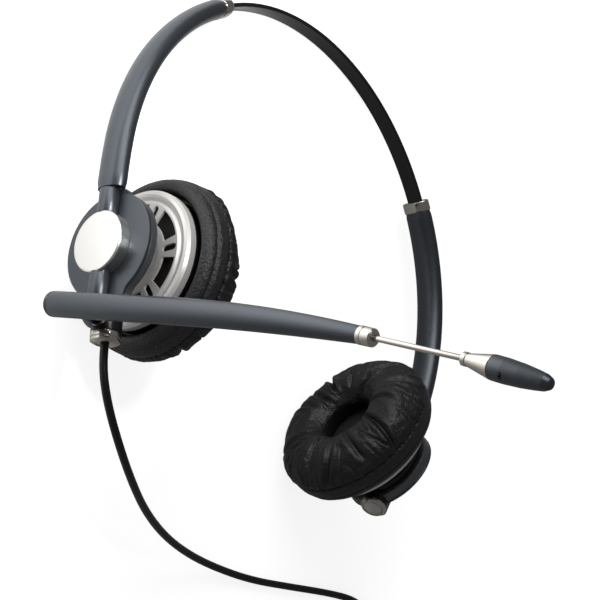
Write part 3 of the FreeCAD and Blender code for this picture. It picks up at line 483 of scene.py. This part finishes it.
def hub_outline(side, grow=0.0, steps=64):
    """Disc, neck and lobe with blended waists, as points (y, z); grow moves the outline out."""
    disc = 18.0
    lobe, drop = LOBES[side]
    blend = 5.0
    near = disc + blend
    far = lobe + blend
    z = -(near * near - far * far + drop * drop) / (2 * drop)
    y = sqrt(near * near - z * z)
    to_disc = atan2(-z, -y)
    to_lobe = atan2(-drop - z, -y)
    neck = 5.4 + grow
    start = atan2(sqrt((disc + grow) ** 2 - neck * neck), neck)
    join = atan2(z, y)
    half = [(0.0, 18.5 + grow), (neck, 18.5 + grow)]
    for i in range(steps + 1):
        angle = start + (join - start) * i / steps
        half.append(((disc + grow) * cos(angle), (disc + grow) * sin(angle)))
    turn = (to_lobe - to_disc + pi) % (2 * pi) - pi
    for i in range(1, 10):
        angle = to_disc + turn * i / 10
        half.append((y + (blend - grow) * cos(angle), z + (blend - grow) * sin(angle)))
    meet = atan2(z + drop, y)
    for i in range(21):
        angle = meet + (-pi / 2 - meet) * i / 20
        half.append(((lobe + grow) * cos(angle), -drop + (lobe + grow) * sin(angle)))
    mirror = [(-a, b) for a, b in reversed(half[1:-1])]
    return half + mirror


def slab(name, side, layers, material, replaced):
    """A slab with the hub's outline; layers are (x, grow)."""
    rings = [[(x, y, z) for y, z in hub_outline(side, grow)] for x, grow in layers]
    bm = skin(rings, HUB[side], cap_ends=True)
    return finish_mesh(bm, name, material, f"{side}_hub", replaced, 35)


def rib(name, side, low, high):
    """A round bar lying along the hub's face."""
    rings = []
    stations = [(low, -3.4), (low, -0.4), (low + 0.15, -0.1), (low + 0.4, 0)]
    stations += [(high - 0.4, 0), (high, -0.2), (high, -3.4)]
    for z, grow in stations:
        radius = 3.5 + grow
        ring = []
        for i in range(40):
            turn = 2 * pi * i / 40
            ring.append((1.6 + 0.95 * radius * cos(turn), radius * sin(turn), z))
        rings.append(ring)
    finish_mesh(skin(rings, HUB[side]), name, GRAPHITE, f"{side}_hub", [], 50)


def make_hub(side):
    body = f"{side}_hub"
    layers = [(-1.0, -0.12), (-0.85, 0), (-0.3, 0), (-0.12, -0.06), (-0.03, -0.2), (0, -0.4)]
    slab(f"{side}_hub_plate", side, layers, GRAPHITE, [f"{side}_hub_face_plate"])
    layers = [(-4.4, -1.2), (-4.3, -0.7), (-4.0, -0.35), (-1.35, 0), (-1.15, -0.1), (-1.1, -0.3)]
    slab(f"{side}_hub_rim", side, layers, RIM_GREY, [f"{side}_hub_housing"])
    low = -18.65 if side == "left" else -18.1
    rib(f"{side}_rib_lower", side, low, -9.5)
    rib(f"{side}_rib_upper", side, 9.5, 18.5)
    cap = [(0.02, 0, 0), (0.02, 10.05, 0), (0.6, 10.2, 0.3), (4.9, 10.4, 0.75), (4.88, 0, 0)]
    lathe(f"{side}_cap", cap, HUB[side], CAP, body, [f"{side}_hub_cap"], 128)
    bowl = [
        (-4.45, 0, 0), (-4.45, 15.6, 0.5), (-6.3, 15.4, 1.5), (-8.2, 11.0, 3.0), (-9.2, 6.6, 1.2), (-10.2, 5.6, 0.4),
        (-10.2, 0, 0),
    ]
    lathe(f"{side}_bowl", bowl, HUB[side], BLACK, body, [f"{side}_hub_back_shell"])


def make_ends():
    """The cord's metal ring with its stepped lip, and the blank cap of the other post."""
    down = Matrix.Rotation(radians(90), 4, "Y")
    ring = HUB["left"] @ Matrix.Translation(Vector((-2.3, 1.4, -28.8)) * MM) @ down
    lathe(
        "cord_ring",
        [(0, 1.5, 0), (0, 4.85, 0.15), (1.7, 4.85, 0.3), (1.8, 4.55, 0.05), (2.0, 4.55, 0.05), (2.1, 4.8, 0.1),
         (2.9, 4.75, 0.35), (3.6, 3.4, 0.3), (3.2, 2.6, 0.2), (3.2, 1.5, 0.1)],
        ring, NICKEL, "left_hub", ["left_cord_ring"],
    )
    blank = HUB["right"] @ Matrix.Translation(Vector((-2.3, -1.4, -18.9)) * MM) @ down
    lathe(
        "blank_ring",
        [(0, 3.4, 0), (0, 4.9, 0.15), (1.0, 4.9, 0.1), (1.9, 4.2, 0.15), (1.9, 3.5, 0.1), (1.6, 3.4, 0.05)],
        blank, NICKEL, "right_hub", ["right_post_cap"],
    )
    lathe("blank_disc", [(0, 0, 0), (0, 3.4, 0), (1.7, 3.4, 0.2), (1.7, 0, 0)], blank, CAP, "right_hub")


# ---------------------------------------------------------------- ear cups


def ease(share):
    """A soft step from 0 to 1."""
    share = min(1.0, max(0.0, share))
    return share * share * (3 - 2 * share)


def fold(theta, share, start, end, path, width, depth):
    """Depth of one fold at an angle and a share of the way from seam to hole."""
    if not start - 0.06 < share < end + 0.06:
        return 0.0
    along = (share - start) / (end - start)
    middle = path[0] + (path[1] - path[0]) * along + path[2] * along * (1 - along)
    off = (theta - middle + pi) % (2 * pi) - pi
    radius = 30.0 - 20.0 * share
    across = off * radius / width
    if abs(across) > 4:
        return 0.0
    fade = ease((share - start + 0.06) / 0.16) * ease((end + 0.06 - share) / 0.22)
    groove = exp(-abs(across) ** 1.8)
    lip = 0.2 * exp(-((abs(across) - 2.1) / 1.0) ** 2)
    return depth * fade * (groove - lip)


def cushion_folds(side):
    """Large folds listed one by one, and many small random wrinkles."""
    # Each fold: start and end share, start and end angle, sideways bow in degrees, width and depth.
    turn = {
        "right": [
            (0.06, 0.78, 38, 34, 6, 0.7, 1.9), (0.06, 0.95, -36, -16, -10, 1.0, 1.5),
            (0.08, 0.8, -121, -109, 4, 0.75, 1.7), (0.3, 0.85, 166, 160, 10, 0.8, 1.5),
            (0.1, 0.7, -178, -166, 8, 0.9, 1.2), (0.15, 0.75, 78, 72, -8, 1.0, 1.1),
            (0.2, 0.8, 118, 124, 8, 1.0, 1.2), (0.1, 0.6, -66, -62, 6, 0.9, 1.0),
            (0.2, 0.8, -142, -150, 4, 1.0, 1.1), (0.25, 0.8, 2, 8, 4, 1.0, 0.9),
            (0.35, 0.9, 58, 50, 4, 0.7, 1.0), (0.4, 0.9, -86, -80, 4, 0.7, 0.9),
        ],
        "left": [
            (0.08, 0.8, -150, -146, 6, 0.8, 1.8), (0.08, 0.9, 40, 22, 10, 0.9, 1.6),
            (0.08, 0.85, 100, 108, 4, 0.8, 1.7), (0.2, 0.85, -30, -24, 6, 0.8, 1.6),
            (0.1, 0.7, 160, 168, 8, 0.8, 1.4), (0.15, 0.75, -90, -84, 6, 0.9, 1.5),
        ],
    }[side]
    folds = [(a, b, (radians(c), radians(d), radians(e)), w, h) for a, b, c, d, e, w, h in turn]
    chance = random.Random(7 if side == "right" else 11)
    for _ in range(60):
        angle = chance.uniform(-pi, pi)
        start = chance.choice((0.0, 0.0, 0.1, 0.45))
        end = start + chance.uniform(0.2, 0.45)
        bend = chance.uniform(-0.14, 0.14)
        path = (angle, angle + bend, chance.uniform(-0.12, 0.12))
        folds.append((start, end, path, chance.uniform(0.3, 0.65), chance.uniform(0.15, 0.5)))
    return folds


CUSHION_LINE = [
    (-24.2, 28.9), (-24.35, 30.0), (-25.4, 30.5), (-27.3, 30.45), (-29.6, 29.5), (-31.8, 27.4), (-33.6, 24.6),
    (-34.7, 21.2), (-34.8, 17.8), (-34.0, 14.2), (-32.3, 11.2), (-30.0, 9.6), (-27.0, 9.6), (-24.0, 11.0),
]


def smooth_line(points, count):
    """Evenly spaced points on a Catmull-Rom curve."""
    dense = []
    for i in range(len(points) - 1):
        a, b = Vector(points[max(i - 1, 0)]), Vector(points[i])
        c, d = Vector(points[i + 1]), Vector(points[min(i + 2, len(points) - 1)])
        for step in range(12):
            t = step / 12
            square = 2 * a - 5 * b + 4 * c - d
            cube = 3 * b - a - 3 * c + d
            dense.append(0.5 * (2 * b + (c - a) * t + square * t ** 2 + cube * t ** 3))
    dense.append(Vector(points[-1]))
    lengths = [0.0]
    for a, b in zip(dense, dense[1:]):
        lengths.append(lengths[-1] + (b - a).length)
    even = []
    index = 0
    for i in range(count):
        want = lengths[-1] * i / (count - 1)
        while index < len(lengths) - 2 and lengths[index + 1] < want:
            index += 1
        span = lengths[index + 1] - lengths[index]
        even.append(dense[index].lerp(dense[index + 1], (want - lengths[index]) / span))
    return even


def inflate(thing, pinned):
    """Lets air pressure swell a cover whose pinned rows are sewn down."""
    group = thing.vertex_groups.new(name="sewn")
    group.add(pinned, 1.0, "REPLACE")
    before = [v.co.copy() for v in thing.data.vertices]
    cloth = thing.modifiers.new("air", "CLOTH")
    cloth.settings.vertex_group_mass = "sewn"
    cloth.settings.use_pressure = True
    cloth.settings.uniform_pressure_force = 4.0
    cloth.settings.effector_weights.gravity = 0
    cloth.settings.tension_stiffness = 30
    cloth.settings.compression_stiffness = 12
    cloth.settings.shear_stiffness = 8
    cloth.settings.bending_stiffness = 0.4
    cloth.settings.shrink_min = -0.03
    scene = bpy.context.scene
    for number in range(1, 15):
        scene.frame_set(number)
    swollen = thing.evaluated_get(bpy.context.evaluated_depsgraph_get())
    after = [v.co.copy() for v in swollen.data.vertices]
    thing.modifiers.remove(cloth)
    scene.frame_set(1)
    for vertex, old, new in zip(thing.data.vertices, before, after):
        step = new - old
        vertex.co = old + step * min(1.0, 0.0007 / max(step.length, 1e-9))


AROUND = 420
DOWN = 84


def ripple(theta, waves, layer):
    """Noise round the ring, finer as waves grows."""
    return noise.noise(Vector((cos(theta) * waves, sin(theta) * waves, layer)))


def bell(share, middle, width):
    """A smooth hump of height 1."""
    return exp(-((share - middle) / width) ** 2)


def make_cushion(side):
    line = smooth_line(CUSHION_LINE, DOWN)
    normals = []
    for i in range(DOWN):
        along = (line[min(i + 1, DOWN - 1)] - line[max(i - 1, 0)]).normalized()
        normals.append(Vector((-along.y, along.x)) * -1)
    folds = cushion_folds(side)
    seed = 3.0 if side == "right" else 9.0
    rings = []
    for k in range(AROUND):
        theta = -pi + 2 * pi * k / AROUND
        ring = []
        for i, point in enumerate(line):
            share = i / (DOWN - 1) * 1.12
            puff = 0.9 * ripple(theta, 1.4, seed) + 0.55 * ripple(theta, 3, seed + share * 3)
            crown = sin(pi * min(1.0, share / 0.95)) if share < 0.95 else 0.0
            sink = sum(fold(theta, share, *f) for f in folds) * ease(share / 0.14)
            gather = 0.32 * bell(share, 0.05, 0.05) * ripple(theta, 26, seed)
            gather += 0.5 * bell(share, 0.05, 0.07) * ripple(theta, 13, seed)
            pucker = 0.4 * bell(share, 0.86, 0.1) * ripple(theta, 5, seed)
            move = puff * crown - sink + gather + pucker
            x, r = point + normals[i] * move
            ring.append((x, r * sin(theta), r * cos(theta)))
        rings.append(ring)
    back = [(-23.9, 27.0), (-23.6, 12.0)]
    for k, ring in enumerate(rings):
        theta = -pi + 2 * pi * k / AROUND
        ring.insert(0, (back[0][0], back[0][1] * sin(theta), back[0][1] * cos(theta)))
        ring.append((back[1][0], back[1][1] * sin(theta), back[1][1] * cos(theta)))
    bm = skin(rings, HUB[side], close_rings=True)
    thing = finish_mesh(
        bm, f"{side}_cushion_cover", LEATHERETTE, f"{side}_cup", [f"{side}_ear_cushion"],
    )
    rows = DOWN + 2
    sewn = [v.index for v in thing.data.vertices if v.index % rows < 5 or v.index % rows > rows - 6]
    inflate(thing, sewn)


def make_base(side):
    """The grained ring between the speaker plate and the cushion's seam."""
    line = smooth_line(
        [
            (-18.4, 24.0), (-17.0, 24.5), (-16.0, 25.3), (-15.7, 26.3), (-16.4, 27.8), (-17.6, 28.9),
            (-18.9, 29.3), (-19.3, 29.0), (-19.7, 29.6), (-20.4, 30.1), (-21.4, 30.25), (-23.1, 30.35),
            (-24.1, 29.9), (-24.3, 29.2),
        ],
        30,
    )
    rings = []
    for k in range(240):
        theta = 2 * pi * k / 240
        ring = []
        for i, point in enumerate(line):
            wobble = 0.12 * ripple(theta, 9, i * 0.12) * min(1, i / 10)
            r = point.y + wobble
            ring.append((point.x, r * sin(theta), r * cos(theta)))
        ring.append((-24.0, 28.0 * sin(theta), 28.0 * cos(theta)))
        ring.append((-21.0, 28.7 * sin(theta), 28.7 * cos(theta)))
        ring.append((-20.9, 24.0 * sin(theta), 24.0 * cos(theta)))
        rings.append(ring)
    finish_mesh(
        skin(rings, HUB[side], close_rings=True), f"{side}_base_cover", BASE_LEATHER, f"{side}_cup",
        [f"{side}_cushion_base"],
    )


def make_stitches(side):
    """Short thread stitches across the gathered seam."""
    bm = bmesh.new()
    count = 96
    chance = random.Random(5)
    for k in range(count):
        theta = 2 * pi * (k + chance.uniform(-0.2, 0.2)) / count
        radius = 30.35
        lean = 0.5 + chance.uniform(-0.2, 0.2)
        centre = Vector((-24.25, radius * sin(theta), radius * cos(theta)))
        outward = Vector((0, sin(theta), cos(theta)))
        along = (Vector((1, 0, 0)) + Vector((0, cos(theta), -sin(theta))) * lean).normalized()
        across = outward.cross(along)
        rings = []
        for share, thick in ((-0.62, 0.04), (-0.45, 0.15), (0, 0.18), (0.45, 0.15), (0.62, 0.04)):
            middle = centre + along * share - outward * (share / 0.62) ** 2 * 0.28
            ring = []
            for i in range(6):
                turn = 2 * pi * i / 6
                point = middle + (across * cos(turn) + outward * sin(turn)) * thick
                ring.append(bm.verts.new(HUB[side] @ (point * MM)))
            rings.append(ring)
        for low, high in zip(rings, rings[1:]):
            for i in range(6):
                j = (i + 1) % 6
                bm.faces.new((low[i], low[j], high[j], high[i]))
    finish_mesh(bm, f"{side}_seam_stitches", THREAD, f"{side}_cup", [])


# ---------------------------------------------------------------- boom


def boom_rings():
    rings = []
    tail = [(-10.15, 3.9), (-10.0, 4.06), (-9.7, 4.1)]
    stations = [(x, 0.0, r, 0.0) for x, r in tail] + [(x, 0.0, 4.1, 0.0) for x in range(-5, 40, 5)]
    for step in range(25):
        turn = BOOM_BEND * step / 24
        size = 4.1 - 1.65 * (sin(turn) / sin(BOOM_BEND)) ** 2
        stations.append((BOOM_STRAIGHT + BOOM_ARC * sin(turn), BOOM_ARC * (cos(turn) - 1), size, -turn))
    for x, y, size, slope in stations:
        ring = []
        for i in range(64):
            angle = 2 * pi * i / 64
            up = size * cos(angle)
            ring.append((x - up * sin(slope), y + up * cos(slope), size * sin(angle)))
        rings.append(ring)
    return rings


def make_boom():
    finish_mesh(
        skin(boom_rings(), BOOM, cap_ends=True), "boom_shell", GRAPHITE, "boom", ["boom_tube"], 50,
    )
    lathe("boom_neck", [(-9.3, 0, 0), (-9.3, 3.4, 0.1), (-3.0, 3.4, 0), (-3.0, 0, 0)],
          BOOM @ Matrix.Rotation(radians(-90), 4, "Y"), GRAPHITE, "boom")
    back = BOOM @ Matrix.Translation((-10.2 * MM, 0, 0)) @ Matrix.Rotation(pi, 4, "Z")
    lathe(
        "boom_rear_cap", [(0.02, 0, 0), (0.02, 4.1, 0.15), (1.2, 4.0, 0.9), (1.9, 2.6, 1.2), (1.95, 0, 0)],
        back, GRAPHITE, "boom", ["boom_end_cap"],
    )
    lathe(
        "boom_front_ring",
        [(-0.1, 0.9, 0), (-0.1, 2.6, 0.1), (1.3, 2.6, 0.08), (1.4, 2.45, 0.03), (1.6, 2.45, 0.03), (1.7, 2.6, 0.08),
         (4.3, 2.55, 0.25), (4.8, 2.1, 0.15), (4.8, 0.9, 0)],
        ROD, NICKEL, "boom", ["boom_ferrule"],
    )
    lathe("boom_rod_bar", [(-11.9, 0, 0), (-11.9, 0.8, 0.1), (34.2, 0.8, 0.05), (34.2, 0, 0)],
          ROD, NICKEL, "microphone", ["boom_rod"], 48)


def make_microphone():
    lathe(
        "microphone_collar",
        [(0.1, 0, 0), (0.1, 1.85, 0.2), (1.5, 1.85, 0.15), (1.6, 1.7, 0), (9.55, 3.28, 0.12), (9.55, 0, 0)],
        MIC, NICKEL, "microphone", ["microphone_cone"],
    )
    lathe(
        "microphone_shell",
        [(9.7, 0, 0), (9.7, 3.3, 0.12), (13.6, 3.32, 8), (18.6, 3.05, 12), (22.6, 2.62, 8), (25.4, 2.2, 2.0),
         (27.1, 1.45, 1.0), (27.7, 0, 0)],
        MIC, GRAPHITE, "microphone", ["microphone_housing"], 72,
    )
    # The slot is a shallow pocket on the shell, coloured near-black as painted shade for the dark inside of the
    # opening.
    slot = []
    for scale, height in ((1.0, 3.34), (0.82, 3.3), (0.8, 3.0)):
        ring = []
        for i in range(32):
            turn = 2 * pi * i / 32
            across = 1.05 * scale * sin(turn)
            along = 0.5 * scale * cos(turn)
            angle = radians(-36) + across / 3.3
            ring.append((13.9 + along, height * sin(angle), height * cos(angle)))
        slot.append(ring)
    finish_mesh(skin(slot, MIC, cap_ends=True), "microphone_slot", HOLE_SHADE, "microphone", [])


# ---------------------------------------------------------------- whole object


def repaint():
    """Gives the CAD nodes that stay their finished materials."""
    finishes = {
        "spring_steel": NICKEL, "band_black": BAND, "graphite": GRAPHITE, "nickel": NICKEL, "rim_grey": RIM_GREY,
        "cap_nickel": CAP, "black_plastic": BLACK, "white_plastic": PALE, "speaker_silver": SILVER, "magnet": SILVER,
        "diaphragm": PALE, "cord_black": CORD, "brass": BRASS, "base_leatherette": BASE_LEATHER,
        "leatherette": LEATHERETTE, "cloth": DARK,
    }
    slots = {entry["node"]: entry["material_slot"] for entry in frame["record"]["subparts"]}
    for name, thing in NODES.items():
        for slot in thing.material_slots:
            slot.material = finishes[slots[name]]
    for side in SIDES:
        turn = HUB[side].to_3x3().inverted().to_euler("XYZ")
        cloth = woven(f"{side}_mesh_cloth", (0.016, 0.014, 0.012), 420.0, turn)
        NODES[f"{side}_ear_mesh"].material_slots[0].material = cloth


for ear in SIDES:
    make_arm(ear)
    make_hub(ear)
    make_cushion(ear)
    make_base(ear)
    make_stitches(ear)
make_band()
make_ends()
make_boom()
make_microphone()
repaint()

# ---------------------------------------------------------------- floor and light


def make_floor():
    bm = bmesh.new()
    bmesh.ops.create_grid(bm, x_segments=1, y_segments=1, size=12.0)
    mesh = bpy.data.meshes.new("table")
    bm.to_mesh(mesh)
    bm.free()
    floor = bpy.data.objects.new("table", mesh)
    bpy.context.scene.collection.objects.link(floor)
    surface = plain("pale_table", (0.85, 0.85, 0.85), 0.0, 0.8, 0.9, 0.0, Emission_Color=(0.8, 0.8, 0.8, 1))
    tree = surface.node_tree
    path = tree.nodes.new("ShaderNodeLightPath")
    tree.links.new(path.outputs["Is Camera Ray"], tree.nodes["Principled BSDF"].inputs["Emission Strength"])
    mesh.materials.append(surface)


def add_light(name, place, target, size, power, size_y=None):
    lamp = bpy.data.lights.new(name, "AREA")
    lamp.shape = "RECTANGLE"
    lamp.size = size
    lamp.size_y = size_y or size
    lamp.energy = power
    thing = bpy.data.objects.new(name, lamp)
    bpy.context.scene.collection.objects.link(thing)
    thing.location = place
    thing.rotation_euler = (Vector(target) - Vector(place)).to_track_quat("-Z", "Y").to_euler()


def make_light():
    world = bpy.data.worlds.new("studio")
    world.use_nodes = True
    world.node_tree.nodes["Background"].inputs["Color"].default_value = (1, 1, 1, 1)
    world.node_tree.nodes["Background"].inputs["Strength"].default_value = 0.16
    bpy.context.scene.world = world
    bpy.context.scene.view_settings.view_transform = "Standard"
    middle = (0, 0, 0.06)
    add_light("key", (-1.35, 0.95, 0.75), middle, 1.3, 14, 1.1)
    pool = bpy.data.lights.new("table_pool", "SPOT")
    pool.energy = 22
    pool.spot_size = radians(76)
    pool.spot_blend = 1.0
    pool.shadow_soft_size = 0.05
    lamp = bpy.data.objects.new("table_pool", pool)
    bpy.context.scene.collection.objects.link(lamp)
    lamp.location = (-0.3, 0.06, 0.45)


make_floor()
make_light()
